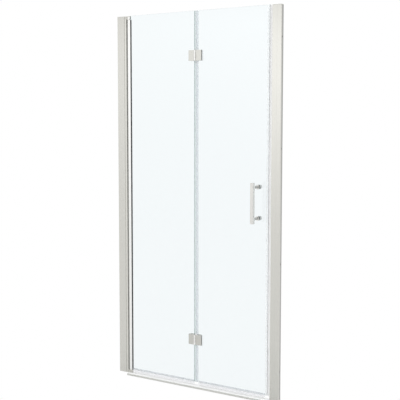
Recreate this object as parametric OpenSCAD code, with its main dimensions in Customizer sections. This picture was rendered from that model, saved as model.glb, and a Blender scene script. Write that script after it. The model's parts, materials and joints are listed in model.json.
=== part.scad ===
// Inward-folding bifold shower door with two frameless glass panels.
// The inner panel turns on pivots beside the hinge side wall. The leading panel
// hangs on the inner one by two fold hinges and closes on a magnetic strip.
// X runs along the door from the hinge side wall, -Y is the outside, +Y the
// shower and +Z is up. The origin is the middle of the hinge side channel's wall
// face, midway between its screw holes and in the plane of the glass.

/* [Opening] */
// Distance between the two wall faces
door_w = 931; // [890:1:970]
// Height of both glass panels
glass_h = 1794; // [1600:1:1900]
// How far the frame's top stays below the glass's top edge
frame_drop = 1.5; // [0:0.5:12]

/* [Glass] */
// Thickness of the toughened glass
glass_t = 6; // [5:0.5:7]
// From the pivot axis to the fold axis
inner_panel_w = 403.5; // [360:0.5:430]
// From the fold axis to each panel's glass edge
fold_edge = 9; // [7:0.5:12]

/* [Wall channels] */
// Depth of both wall channels, front to back
channel_d = 20; // [18.5:0.5:24]
// Wall of the channel extrusions
channel_t = 1.6; // [1.2:0.1:2]
// Width of the hinge side channel's front flange
hinge_channel_w = 42.5; // [34:0.5:46]
// Width of the strike side channel's front flange
strike_channel_w = 22; // [16:0.5:30]
// Thickness of the top cap plates
cap_t = 2.5; // [1.5:0.5:4]
// Diameter of the wall screw holes
wall_hole_d = 5.5; // [4:0.5:7]
// From a channel's end to its outer wall screw hole
wall_hole_end = 140; // [80:5:250]
// From a channel's end to its inner wall screw hole
wall_hole_inner = 640; // [450:5:750]

/* [Posts] */
// Wall of the post extrusions
post_t = 1.5; // [1.2:0.1:2]
// Sliding clearance between a post and its channel
post_fit = 0.2; // [0.1:0.05:0.4]
// Reach of the hinge post's face from the wall
hinge_post_reach = 54; // [51:0.5:56]
// Reach of the strike post's face from the wall
strike_post_reach = 47; // [42:0.5:52]
// Hidden end of each post, from the wall
post_back = 8; // [5:0.5:14]
// From a channel's end to its outer post fixing screws
fix_end = 230; // [180:5:320]

/* [Pivot stile] */
// Pivot axis from the hinge side wall
pivot_from_wall = 65; // [65:0.5:69]
// Wall of the stile beside the gasket
stile_arm = 3; // [2.5:0.25:4]
// From the pivot axis to the stile's glass side
stile_w = 12.5; // [12:0.25:15]
// Depth of the slot that takes the glass and its gasket
stile_slot = 6.5; // [5:0.25:7]
// Thickness of the gasket between the stile and the glass
glaze_t = 1; // [0.5:0.25:1.25]
// How far the gasket's lips stand out of the slot
glaze_lip = 2; // [1:0.25:3]
// Diameter of the pivot pins
pin_d = 6; // [5:0.5:6.5]
// Wall of the pivot bushes
bush_t = 1.35; // [0.8:0.05:1.5]
// How far the pivot pins and bushes enter the stile
pin_reach = 25; // [15:1:40]
// Running clearance of pins in bushes, on the radius
run_fit = 0.05; // [0.02:0.01:0.1]
// Height of the pivot blocks above and below the stile
block_h = 14; // [10:0.5:20]
// Length of the pivot blocks' tenons inside the hinge post
tenon_h = 32; // [20:1:60]
// Flange of the bushes and thickness of the thrust washer
washer_t = 1.2; // [0.8:0.1:2]

/* [Threshold] */
// Height of the threshold bar
threshold_h = 13; // [10:0.5:18]
// Depth of the threshold bar, front to back
threshold_d = 36; // [30:1:44]
// Height of the water rib on the threshold
rib_h = 5.4; // [3:0.1:7]
// How far the threshold runs under the hinge post
threshold_lap = 1; // [0:0.5:4]

/* [Fold hinges] */
// Height of the hinge leaves
leaf_h = 50; // [40:1:70]
// Upper hinge's middle below the top edge of the glass
hinge_drop = 210; // [150:1:350]
// Lower hinge's middle above the bottom edge of the glass
hinge_rise = 212; // [150:1:350]
// From the fold axis to the leaves' outer ends
leaf_reach = 36.5; // [32:0.5:45]
// Thickness of the front leaves
leaf_t = 8; // [7:0.5:10]
// Thickness of the back plates
back_plate_t = 5; // [4:0.5:7]
// Width of the back plates
back_plate_w = 20; // [17:0.5:24]
// Radius of the hinge knuckles
knuckle_r = 5.5; // [4.75:0.25:6]
// Diameter of the hinge pins
hinge_pin_d = 5; // [4:0.25:5.5]
// Height of the middle knuckle
mid_knuckle_h = 20; // [14:1:26]
// Distance between a leaf's two clamp screws
clamp_pitch = 28; // [20:1:32]
// Thickness of the pads between glass and metal
pad_t = 1; // [0.5:0.25:1.5]

/* [Handle] */
// Height of the handle's middle above the threshold's underside
handle_z = 930; // [850:5:1100]
// Length of the handle bar
handle_len = 188; // [170:1:260]
// Side of the square handle bar
handle_bar = 16; // [12:0.5:18]
// Distance between the two posts' axes
handle_pitch = 145; // [120:1:155]
// Front face of the bar from the middle of the glass
handle_out = 65; // [55:1:80]
// Handle axis from the leading panel's glass edge
handle_inset = 53.5; // [40:0.5:90]
// Radius of the posts' necks
neck_r = 6.5; // [5:0.25:8]
// Radius of the rosettes and back caps
rosette_r = 10.75; // [9:0.25:13]
// Thickness of the black spacer behind each rosette
spacer_t = 7.5; // [3:0.5:11]

/* [Seals] */
// Height of the bottom seals' legs on the glass
seal_leg_h = 9; // [7:0.5:16]
// Wall of the clear seal legs
seal_t = 1.2; // [0.8:0.1:1.5]
// Reach of the magnetic seal's legs on the glass
magnet_leg = 12.5; // [8:0.5:18]
// Thickness of the magnet strips
magnet_t = 3; // [2:0.25:4]
// Gap between the two magnet strips when shut
magnet_gap = 1; // [0.8:0.1:1.5]
// Reach of the fold seal's legs on the glass
fold_leg = 6.5; // [5:0.5:10]

/* [Hidden] */
$fn = 48;

// Fits shared by several pieces
edge_r = 0.8;        // rounded edges of the channels and posts
press_fit = 0.02;    // a pin or bush held fast, on the radius
screw_fit = 0.1;     // a screw in its hole, on the radius
seat_gap = 0.3;      // pieces that pass without touching
plate_gap = 0.5;     // knuckles and end faces that turn past each other

// Walls and frame heights
left_x = 0;
right_x = door_w;
channel_y = channel_d / 2;
post_y = channel_y - channel_t - post_fit;
glass_y = glass_t / 2;
stile_y = glass_y + glaze_t + stile_arm;
lift_gap = 0.1;      // under the bush flange
glass_lift = 0.5;    // glass edge above the stile's end
stile_lift = block_h + 2 * washer_t + lift_gap;
channel_l = stile_lift + glass_lift + glass_h - frame_drop - cap_t;
channel_z1 = channel_l / 2;
frame_z0 = -channel_z1;
frame_z1 = channel_z1 + cap_t;
base_z = frame_z0 - threshold_h;
stile_z0 = frame_z0 + stile_lift;
glass_z0 = stile_z0 + glass_lift;
glass_z1 = glass_z0 + glass_h;
block_z1 = channel_z1;
block_z0 = block_z1 - block_h;
stile_z1 = block_z0 - plate_gap - washer_t;
low_block_z1 = frame_z0 + block_h;

// Positions along the door
pivot_x = left_x + pivot_from_wall;
stile_x1 = pivot_x + stile_w;
stile_slot_x = stile_x1 - stile_slot;
hinge_post_x = left_x + hinge_post_reach;
strike_post_x = right_x - strike_post_reach;
fold_x = pivot_x + inner_panel_w;
carrier_nose = 4;    // stands out of the strike post's mouth
carrier_root = 13;   // sits inside it
housing_t = 5;       // from the glass edge to the moving magnet
magnet_drop = 2;     // magnetic seal's top below the glass's
strike_face_x = strike_post_x - carrier_nose - magnet_t;
leading_x1 = strike_face_x - magnet_gap - magnet_t - housing_t;
leading_x0 = fold_x + fold_edge;
inner_x1 = fold_x - fold_edge;
notch_gap = 0.6;     // glass notch beside the top pivot block

// Fold hinges
leaf_y0 = -glass_y - pad_t - leaf_t;   // front plane, which holds the fold axis
leaf_y1 = -glass_y - pad_t;
knuckle_gap = 0.8;                     // between a knuckle and the other leaf
leaf_x = knuckle_gap + knuckle_r;      // leaf plate's inner end from the fold axis
hinge_zs = [glass_z0 + hinge_rise, glass_z1 - hinge_drop];
clamp_x = fold_edge + 11.5;            // clamp screws from the fold axis
plate_inset = 0.5;                     // back plate from the glass edge
screw_r = 2.45;
screw_depth = 6;                       // of the clamp screws in the leaf
glass_hole_r = 6;
end_knuckle_h = (leaf_h - mid_knuckle_h) / 2 - plate_gap;

// Handle
handle_x = leading_x1 - handle_inset;
bar_z = base_z + handle_z;
handle_zs = [bar_z - handle_pitch / 2, bar_z + handle_pitch / 2];
bar_y0 = -handle_out;
bar_y1 = bar_y0 + handle_bar;
rosette_t = 2.5;
rosette_y0 = -glass_y - spacer_t - rosette_t;
sleeve_r = 7;
stud_r = 3;
spacer_inset = 0.75;   // spacers and washers inside the rosettes' rim
back_washer_t = 1.5;
back_cap_t = 12;

// Screws and covers of the frame
fix_r = 1.9;
fix_head_r = 3.5;
fix_head_h = 2.2;
cover_wall = 1.1;
fix_zs = [frame_z0 + fix_end, (frame_z0 + channel_z1) / 2, channel_z1 - fix_end];
hinge_fix_x = left_x + hinge_channel_w - 9;
strike_fix_x = right_x - strike_channel_w + 8;
block_screw_x = (left_x + hinge_channel_w + hinge_post_x) / 2;

// A box between two corners
module box(x0, x1, y0, y1, z0, z1) {
  translate([x0, y0, z0]) cube([x1 - x0, y1 - y0, z1 - z0]);
}

// A flat outline run upwards from z0 to z1
module upright(z0, z1) {
  translate([0, 0, z0]) linear_extrude(height = z1 - z0) children();
}

// A flat (Y, Z) outline run along X from x0 to x1
module along_x(x0, x1) {
  translate([x0, 0, 0]) rotate([90, 0, 90]) linear_extrude(height = x1 - x0) children();
}

// A round bar along Y
module rod_y(x, z, r, y0, y1) {
  translate([x, y0, z]) rotate([-90, 0, 0]) cylinder(r = r, h = y1 - y0);
}

// A round bar along Z
module rod_z(x, y, r, z0, z1) {
  translate([x, y, z0]) cylinder(r = r, h = z1 - z0);
}

// A flat rectangle given by its sides
module rect(x0, x1, y0, y1) {
  translate([x0, y0]) square([x1 - x0, y1 - y0]);
}

// A flat rectangle between two abscissas given in either order
module between(a, b, y0, y1) {
  rect(min(a, b), max(a, b), y0, y1);
}

// A flat rectangle whose corners on one side of X are rounded
module round_end(x0, x1, half, r) {
  rect(x0, x1 - r, -half, half);
  rect(x0, x1, -half + r, half - r);
  for (side = [-1, 1]) translate([x1 - r, side * (half - r)]) circle(r = r);
}

// Wall screw holes through a channel's web, along X
module wall_holes(x0) {
  for (z = [frame_z0 + wall_hole_end, frame_z0 + wall_hole_inner,
            channel_z1 - wall_hole_inner, channel_z1 - wall_hole_end])
    translate([x0 - 1, 0, z]) rotate([0, 90, 0]) cylinder(d = wall_hole_d, h = channel_t + 2);
}

// A self-tapping screw driven from the shower side, head outwards
module fixing_screw(x, z, seat_y, tip_y) {
  rod_y(x, z, fix_r, tip_y, seat_y);
  translate([x, seat_y, z]) rotate([-90, 0, 0]) rotate_extrude() polygon([
    [0, 0], [fix_head_r, 0], [fix_head_r, fix_head_h * 0.55],
    [fix_head_r * 0.6, fix_head_h], [0, fix_head_h]]);
}

// A snap-on cover over a fixing screw's head
module screw_cover(x, z, seat_y) {
  inner_r = fix_head_r + seat_gap;
  inner_h = fix_head_h + seat_gap;
  outer_r = inner_r + cover_wall;
  translate([x, seat_y, z]) rotate([-90, 0, 0]) rotate_extrude() polygon([
    [inner_r, 0], [outer_r, 0], [outer_r, inner_h - 0.6], [outer_r - 1, inner_h + cover_wall],
    [0, inner_h + cover_wall], [0, inner_h], [inner_r, inner_h]]);
}

// Wall channel on the hinge side: a web on the wall and two flanges
module wall_channel_hinge_side() color([0.80, 0.79, 0.76]) {
  bore_x = left_x + channel_t;
  difference() {
    upright(frame_z0, channel_z1)
      round_end(left_x, left_x + hinge_channel_w, channel_y, edge_r);
    box(bore_x, left_x + hinge_channel_w + 1, -channel_y + channel_t, channel_y - channel_t,
        frame_z0 - 1, channel_z1 + 1);
    wall_holes(left_x);
    for (z = fix_zs) rod_y(hinge_fix_x, z, fix_r + screw_fit, 0, channel_y + 1);
  }
}

// Wall channel on the strike side
module wall_channel_strike_side() color([0.80, 0.79, 0.76]) {
  difference() {
    upright(frame_z0, channel_z1)
      mirror([1, 0]) round_end(-right_x, -right_x + strike_channel_w, channel_y, edge_r);
    box(right_x - strike_channel_w - 1, right_x - channel_t,
        -channel_y + channel_t, channel_y - channel_t, frame_z0 - 1, channel_z1 + 1);
    wall_holes(right_x - channel_t);
    for (z = fix_zs) rod_y(strike_fix_x, z, fix_r + screw_fit, 0, channel_y + 1);
  }
}

// Gasket groove in the hinge post's nose
nose_t = 3.4;
groove_depth = 2;
groove_y = 1.5;
gasket_lip_y = 3;

// Sliding post on the hinge side: a box with a gasket groove in its nose
module hinge_post() color([0.78, 0.77, 0.74]) {
  difference() {
    upright(low_block_z1, block_z0) difference() {
      round_end(left_x + post_back, hinge_post_x, post_y, edge_r);
      rect(left_x + post_back + post_t, hinge_post_x - nose_t, -post_y + post_t, post_y - post_t);
      rect(hinge_post_x - groove_depth, hinge_post_x + 1, -groove_y, groove_y);
    }
    for (z = fix_zs) rod_y(hinge_fix_x, z, fix_r + screw_fit, 0, post_y + 1);
    for (z = block_screw_zs) rod_y(block_screw_x, z, fix_r + screw_fit, 0, post_y + 1);
  }
}

// Sliding post on the strike side: a box with an open mouth for the magnet carrier
module strike_post() color([0.80, 0.79, 0.76]) {
  mouth_x = strike_post_x + carrier_root;
  difference() {
    upright(frame_z0, channel_z1) difference() {
      mirror([1, 0]) round_end(-right_x + post_back, -strike_post_x, post_y, edge_r);
      rect(strike_post_x - 1, mouth_x, -post_y + post_t, post_y - post_t);
      rect(mouth_x + post_t, right_x - post_back - post_t, -post_y + post_t, post_y - post_t);
    }
    for (z = fix_zs) rod_y(strike_fix_x, z, fix_r + screw_fit, 0, post_y + 1);
  }
}

// Height of the screws that hold the pivot blocks' tenons
block_screw_zs = [low_block_z1 + tenon_h / 2, block_z0 - tenon_h / 2];

// Nose of the pivot blocks and the top cap: its end follows the glass's swing
module pivot_nose() {
  rect(hinge_post_x - 1, pivot_x, -stile_y, stile_y);
  intersection() {
    rect(pivot_x, stile_x1, -stile_y, stile_y);
    translate([pivot_x, 0]) circle(r = stile_w);
  }
}

// Outline of a pivot block: the post's own section and the nose round the pivot
module block_outline() {
  rect(left_x + post_back, hinge_post_x, -post_y, post_y);
  pivot_nose();
}

// Tenon of a pivot block inside the post
module tenon(z0, z1) {
  box(left_x + post_back + post_t + post_fit, hinge_post_x - nose_t - post_fit,
      -post_y + post_t + post_fit, post_y - post_t - post_fit, z0, z1);
}

// Holes of a pivot block: the pivot pin's socket and the tenon screw
module block_holes(pin_z0, pin_z1, screw_z) {
  rod_z(pivot_x, 0, pin_d / 2 + press_fit, pin_z0, pin_z1);
  rod_y(block_screw_x, screw_z, fix_r + screw_fit, 0, post_y + 1);
}

// Depth of a pivot pin's socket in its block
socket_h = block_h - 3;

module bottom_pivot_block() color([0.82, 0.81, 0.79]) {
  difference() {
    union() {
      upright(frame_z0, low_block_z1) block_outline();
      tenon(low_block_z1 - 1, low_block_z1 + tenon_h);
    }
    block_holes(low_block_z1 - socket_h, low_block_z1 + 1, block_screw_zs[0]);
  }
}

module top_pivot_block() color([0.82, 0.81, 0.79]) {
  difference() {
    union() {
      upright(block_z0, block_z1) block_outline();
      tenon(block_z0 - tenon_h, block_z0 + 1);
    }
    block_holes(block_z0 - 1, block_z0 + socket_h, block_screw_zs[1]);
  }
}

// Pivot pins, fast in their blocks
module bottom_pivot_pin() color([0.72, 0.72, 0.74]) {
  rod_z(pivot_x, 0, pin_d / 2, low_block_z1 - socket_h, stile_z0 + pin_reach - 1);
}

module top_pivot_pin() color([0.72, 0.72, 0.74]) {
  rod_z(pivot_x, 0, pin_d / 2, stile_z1 - pin_reach + 1, block_z0 + socket_h);
}

// Washer that carries the stile's weight on the bottom block
module thrust_washer() color([0.85, 0.84, 0.80]) {
  upright(low_block_z1, low_block_z1 + washer_t) translate([pivot_x, 0]) difference() {
    circle(r = stile_y - 0.2);
    circle(r = pin_d / 2 + run_fit);
  }
}

// Dark gasket between the hinge post's nose and the stile's round back
module hinge_post_gasket() color([0.25, 0.25, 0.25]) {
  lip_x = pivot_x - stile_y - seat_gap;
  upright(stile_z0, stile_z1) {
    rect(hinge_post_x - groove_depth, hinge_post_x, -groove_y, groove_y);
    rect(hinge_post_x, lip_x, -gasket_lip_y, gasket_lip_y);
  }
}

// Top cap over the channel, the post and the top pivot block
module hinge_side_top_cap() color([0.80, 0.79, 0.77]) {
  cap_x = left_x + hinge_channel_w;
  plug_x0 = left_x + channel_t + post_fit;
  upright(channel_z1, frame_z1) {
    rect(left_x, cap_x, -channel_y, channel_y);
    rect(cap_x - 1, hinge_post_x, -post_y, post_y);
    pivot_nose();
  }
  box(plug_x0, left_x + post_back - post_fit, -post_y, post_y, channel_z1 - 10, channel_z1 + 1);
}

// Top cap over the strike side channel and post
module strike_side_top_cap() color([0.80, 0.79, 0.77]) {
  cap_x = right_x - strike_channel_w;
  upright(channel_z1, frame_z1) {
    rect(cap_x, right_x, -channel_y, channel_y);
    rect(strike_post_x, cap_x + 1, -post_y, post_y);
  }
  box(right_x - post_back + post_fit, right_x - channel_t - post_fit, -post_y, post_y,
      channel_z1 - 10, channel_z1 + 1);
}

// White carrier that grips the strike post's mouth and holds the fixed magnet
module strike_magnet_carrier() color([0.94, 0.94, 0.93]) {
  mouth_y = post_y - post_t - 0.1;
  upright(frame_z0, channel_z1) {
    rect(strike_post_x - carrier_nose, strike_post_x + 1, -mouth_y + 1.2, mouth_y - 1.2);
    rect(strike_post_x, strike_post_x + carrier_root - 0.2, -mouth_y, mouth_y);
  }
}

// Fixed magnet strip on the carrier's face
magnet_y = 4.5;
module strike_magnet() color([0.88, 0.88, 0.88]) {
  box(strike_face_x, strike_face_x + magnet_t, -magnet_y, magnet_y, glass_z0, channel_z1);
}

// Threshold bar: a hollow extrusion with a water rib under the two panels
strike_lap = 3;      // how far it runs under the strike post
threshold_x0 = hinge_post_x - threshold_lap;
threshold_x1 = strike_post_x + strike_lap;
end_plate_t = 2;
cell_wall = 2;
rib_y0 = -0.5;
rib_y1 = 1.5;
threshold_slope = 3; // sloped front and back edges of its top
module threshold_outline() {
  half = threshold_d / 2;
  polygon([[-half, base_z], [half, base_z],
           [half, frame_z0 - threshold_slope], [half - threshold_slope, frame_z0],
           [-half + threshold_slope, frame_z0], [-half, frame_z0 - threshold_slope]]);
}

module threshold() color([0.86, 0.86, 0.84]) {
  cell_pitch = (threshold_d - cell_wall - threshold_slope) / 3;
  along_x(threshold_x0 + end_plate_t, threshold_x1 - end_plate_t) difference() {
    threshold_outline();
    for (i = [-1, 0, 1])
      rect(i * cell_pitch - (cell_pitch - cell_wall) / 2,
           i * cell_pitch + (cell_pitch - cell_wall) / 2,
           base_z + cell_wall, frame_z0 - cell_wall);
  }
  along_x(stile_x1 + glaze_lip + plate_gap, strike_face_x - plate_gap)
    rect(rib_y0, rib_y1, frame_z0 - 1, frame_z0 + rib_h);
}

// Plates that close the threshold's two ends
module threshold_end_plates() color([0.80, 0.80, 0.79]) {
  for (x = [threshold_x0, threshold_x1 - end_plate_t])
    along_x(x, x + end_plate_t) threshold_outline();
}

module hinge_side_fixing_screws() color([0.75, 0.75, 0.76]) {
  for (z = fix_zs) fixing_screw(hinge_fix_x, z, channel_y, post_y - post_t - 2);
}

module strike_side_fixing_screws() color([0.75, 0.75, 0.76]) {
  for (z = fix_zs) fixing_screw(strike_fix_x, z, channel_y, post_y - post_t - 2);
}

module hinge_side_screw_covers() color([0.85, 0.85, 0.83]) {
  for (z = fix_zs) screw_cover(hinge_fix_x, z, channel_y);
}

module strike_side_screw_covers() color([0.85, 0.85, 0.83]) {
  for (z = fix_zs) screw_cover(strike_fix_x, z, channel_y);
}

module pivot_block_screws() color([0.75, 0.75, 0.76]) {
  for (z = block_screw_zs) fixing_screw(block_screw_x, z, post_y, 1);
}

// Pivot stile: a round-backed extrusion turning on the pins, slotted for the glass
bush_r = pin_d / 2 + run_fit + bush_t;
lip_step = 0.5;      // gasket lips behind the stile's faces
module pivot_stile() color([0.90, 0.90, 0.87]) {
  difference() {
    upright(stile_z0, stile_z1) difference() {
      union() {
        translate([pivot_x, 0]) circle(r = stile_y);
        rect(pivot_x, stile_x1, -stile_y, stile_y);
      }
      rect(stile_slot_x, stile_x1 + 1, -glass_y - glaze_t, glass_y + glaze_t);
    }
    rod_z(pivot_x, 0, bush_r + press_fit, stile_z0 - 1, stile_z0 + pin_reach + 1);
    rod_z(pivot_x, 0, bush_r + press_fit, stile_z1 - pin_reach - 1, stile_z1 + 1);
  }
}

// Dark gasket round the glass's edge in the stile's slot, with lips outside it
module stile_glazing_gasket() color([0.30, 0.30, 0.30]) {
  outer_y = glass_y + glaze_t;
  upright(stile_z0, stile_z1) difference() {
    union() {
      rect(stile_slot_x, stile_x1, -outer_y, outer_y);
      rect(stile_x1, stile_x1 + glaze_lip, -stile_y + lip_step, stile_y - lip_step);
    }
    rect(stile_slot_x + glaze_t, stile_x1 + glaze_lip + 1, -glass_y, glass_y);
  }
}

// A flanged bush pressed into one end of the stile
module pivot_bush(flange_z, body_z0, body_z1) {
  difference() {
    union() {
      rod_z(pivot_x, 0, bush_r, body_z0, body_z1);
      rod_z(pivot_x, 0, stile_y - 0.2, flange_z, flange_z + washer_t);
    }
    rod_z(pivot_x, 0, pin_d / 2 + run_fit, body_z0 - washer_t - 1, body_z1 + washer_t + 1);
  }
}

module bottom_pivot_bush() color([0.93, 0.93, 0.90]) {
  pivot_bush(stile_z0 - washer_t, stile_z0 - washer_t, stile_z0 + pin_reach);
}

module top_pivot_bush() color([0.93, 0.93, 0.90]) {
  pivot_bush(stile_z1, stile_z1 - pin_reach, stile_z1 + washer_t);
}

// Inner glass, notched at the top beside the pivot block
module inner_glass() color([0.80, 0.92, 0.90, 0.35]) {
  notch_x = stile_x1 + notch_gap;
  difference() {
    box(stile_slot_x + glaze_t, inner_x1, -glass_y, glass_y, glass_z0, glass_z1);
    box(stile_slot_x - 1, notch_x, -glass_y - 1, glass_y + 1, stile_z1, glass_z1 + 1);
    for (z = hinge_zs, s = [-1, 1])
      rod_y(fold_x - clamp_x, z + s * clamp_pitch / 2, glass_hole_r, -glass_y - 1, glass_y + 1);
  }
}

// Leading glass, bored for the hinges and the handle
module leading_glass() color([0.80, 0.92, 0.90, 0.35]) {
  difference() {
    box(leading_x0, leading_x1, -glass_y, glass_y, glass_z0, glass_z1);
    for (z = hinge_zs, s = [-1, 1])
      rod_y(fold_x + clamp_x, z + s * clamp_pitch / 2, glass_hole_r, -glass_y - 1, glass_y + 1);
    for (z = handle_zs) rod_y(handle_x, z, sleeve_r, -glass_y - 1, glass_y + 1);
  }
}

// Front plate of a leaf. side is -1 on the inner panel and 1 on the leading one
module leaf_plate(side, z) {
  x0 = min(side * leaf_x, side * leaf_reach);
  x1 = max(side * leaf_x, side * leaf_reach);
  bevel = 0.8;
  upright(z - leaf_h / 2, z + leaf_h / 2) translate([fold_x, 0]) polygon([
    [x0 + bevel, leaf_y0], [x1 - bevel, leaf_y0], [x1, leaf_y0 + bevel],
    [x1, leaf_y1], [x0, leaf_y1], [x0, leaf_y0 + bevel]]);
}

// One knuckle and the web that joins it to its leaf
module knuckle(side, z0, z1) {
  web_x = side * (leaf_x + 1);
  rod_z(fold_x, leaf_y0, knuckle_r, z0, z1);
  upright(z0, z1) translate([fold_x, 0])
    between(0, web_x, leaf_y0 + knuckle_gap, leaf_y0 + knuckle_r);
}

// Threaded sockets of a leaf's clamp screws
module leaf_sockets(side, z) {
  for (s = [-1, 1])
    rod_y(fold_x + side * clamp_x, z + s * clamp_pitch / 2, screw_r + 0.05,
          leaf_y1 - screw_depth, leaf_y1 + 1);
}

// Leaf on the inner panel: the outer two knuckles, fast on the pin
module inner_leaf(z) {
  difference() {
    union() {
      leaf_plate(-1, z);
      knuckle(-1, z - leaf_h / 2, z - leaf_h / 2 + end_knuckle_h);
      knuckle(-1, z + leaf_h / 2 - end_knuckle_h, z + leaf_h / 2);
    }
    rod_z(fold_x, leaf_y0, hinge_pin_d / 2 + press_fit, z - leaf_h, z + leaf_h);
    leaf_sockets(-1, z);
  }
}

// Leaf on the leading panel: the middle knuckle, bushed
hinge_bush_r = hinge_pin_d / 2 + run_fit + 0.8;
module leading_leaf(z) {
  difference() {
    union() {
      leaf_plate(1, z);
      knuckle(1, z - mid_knuckle_h / 2, z + mid_knuckle_h / 2);
    }
    rod_z(fold_x, leaf_y0, hinge_bush_r + press_fit, z - leaf_h, z + leaf_h);
    leaf_sockets(1, z);
  }
}

// Back plate that clamps the glass, with countersunk screw holes
head_r = 4.6;
head_h = 2.4;
module back_plate(side, z) {
  near = side * (fold_edge + plate_inset);
  far = side * (fold_edge + plate_inset + back_plate_w);
  y0 = glass_y + pad_t;
  difference() {
    upright(z - leaf_h / 2, z + leaf_h / 2) translate([fold_x, 0])
      between(near, far, y0, y0 + back_plate_t);
    for (s = [-1, 1]) translate([fold_x + side * clamp_x, 0, z + s * clamp_pitch / 2]) {
      rod_y(0, 0, screw_r + 0.05, y0 - 1, y0 + back_plate_t + 1);
      translate([0, y0 + back_plate_t, 0]) rotate([90, 0, 0])
        cylinder(r1 = head_r, r2 = screw_r + 0.05, h = head_h);
    }
  }
}

// Clamp screws of one side, from the back plates into the leaves
module clamp_screws(side) {
  back_y = glass_y + pad_t + back_plate_t;
  for (z = hinge_zs, s = [-1, 1])
    translate([fold_x + side * clamp_x, 0, z + s * clamp_pitch / 2]) {
      rod_y(0, 0, screw_r, leaf_y1 - screw_depth + 0.5, back_y - head_h);
      translate([0, back_y - 0.1, 0]) rotate([90, 0, 0])
        cylinder(r1 = head_r - 0.15, r2 = screw_r, h = head_h - 0.1);
    }
}

// Pads on both faces of the glass; the front ones line the glass holes
module hinge_pads(side) {
  near = side * fold_edge;
  far = side * leaf_reach;
  back_near = side * (fold_edge + plate_inset);
  back_far = side * (fold_edge + plate_inset + back_plate_w);
  for (z = hinge_zs) difference() {
    union() {
      upright(z - leaf_h / 2, z + leaf_h / 2) translate([fold_x, 0]) {
        between(near, far, leaf_y1, -glass_y);
        between(back_near, back_far, glass_y, glass_y + pad_t);
      }
      for (s = [-1, 1])
        rod_y(fold_x + side * clamp_x, z + s * clamp_pitch / 2, glass_hole_r - 0.05,
              leaf_y1, glass_y + pad_t);
    }
    for (s = [-1, 1])
      rod_y(fold_x + side * clamp_x, z + s * clamp_pitch / 2, screw_r + 0.05,
            leaf_y1 - 1, glass_y + pad_t + 1);
  }
}

module upper_hinge_inner_leaf() color([0.84, 0.83, 0.81]) inner_leaf(hinge_zs[1]);

module lower_hinge_inner_leaf() color([0.84, 0.83, 0.81]) inner_leaf(hinge_zs[0]);

module upper_hinge_leading_leaf() color([0.84, 0.83, 0.81]) leading_leaf(hinge_zs[1]);

module lower_hinge_leading_leaf() color([0.84, 0.83, 0.81]) leading_leaf(hinge_zs[0]);

module upper_hinge_inner_back_plate() color([0.84, 0.83, 0.81]) back_plate(-1, hinge_zs[1]);

module lower_hinge_inner_back_plate() color([0.84, 0.83, 0.81]) back_plate(-1, hinge_zs[0]);

module upper_hinge_leading_back_plate() color([0.84, 0.83, 0.81]) back_plate(1, hinge_zs[1]);

module lower_hinge_leading_back_plate() color([0.84, 0.83, 0.81]) back_plate(1, hinge_zs[0]);

module inner_hinge_pads() color([0.30, 0.30, 0.30]) hinge_pads(-1);

module leading_hinge_pads() color([0.30, 0.30, 0.30]) hinge_pads(1);

module inner_hinge_screws() color([0.75, 0.75, 0.76]) clamp_screws(-1);

module leading_hinge_screws() color([0.75, 0.75, 0.76]) clamp_screws(1);

module hinge_pin(z) {
  rod_z(fold_x, leaf_y0, hinge_pin_d / 2, z - leaf_h / 2, z + leaf_h / 2);
}

module upper_hinge_pin() color([0.70, 0.70, 0.72]) hinge_pin(hinge_zs[1]);

module lower_hinge_pin() color([0.70, 0.70, 0.72]) hinge_pin(hinge_zs[0]);

// Bushes of the middle knuckles, turning on the hinge pins
module hinge_bushes() color([0.93, 0.93, 0.90]) {
  for (z = hinge_zs) upright(z - mid_knuckle_h / 2, z + mid_knuckle_h / 2)
    translate([fold_x, leaf_y0]) difference() {
      circle(r = hinge_bush_r);
      circle(r = hinge_pin_d / 2 + run_fit);
    }
}

// Clear seal under a panel: a clip on the glass and a wiper above the rib
module bottom_seal(x0, x1) {
  clip_z0 = glass_z0 - seal_t;
  wiper_z0 = frame_z0 + rib_h + plate_gap;
  along_x(x0, x1) {
    for (side = [-1, 1])
      between(side * glass_y, side * (glass_y + seal_t), clip_z0, glass_z0 + seal_leg_h);
    rect(-glass_y - seal_t, glass_y + seal_t, clip_z0, glass_z0);
    rect(-seal_t / 2, seal_t / 2, wiper_z0, glass_z0 - seal_t / 2);
    polygon([[-glass_y - seal_t, clip_z0 + seal_t], [-glass_y - seal_t - 2, wiper_z0 + 2],
             [-glass_y - seal_t - 1, wiper_z0 + 2], [-glass_y, clip_z0 + seal_t / 2]]);
  }
}

module inner_bottom_seal() color([0.90, 0.91, 0.93, 0.6]) {
  bottom_seal(stile_x1 + glaze_lip + seat_gap, inner_x1 - seat_gap);
}

module leading_bottom_seal() color([0.90, 0.91, 0.93, 0.6]) {
  bottom_seal(leading_x0 + fold_leg + seat_gap, leading_x1 - magnet_leg - seat_gap);
}

// Heights left between the hinges, where the fold seal's lengths run
fold_seal_zs = [[glass_z0, hinge_zs[0] - leaf_h / 2 - seat_gap],
                [hinge_zs[0] + leaf_h / 2 + seat_gap, hinge_zs[1] - leaf_h / 2 - seat_gap],
                [hinge_zs[1] + leaf_h / 2 + seat_gap, glass_z1]];

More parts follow.
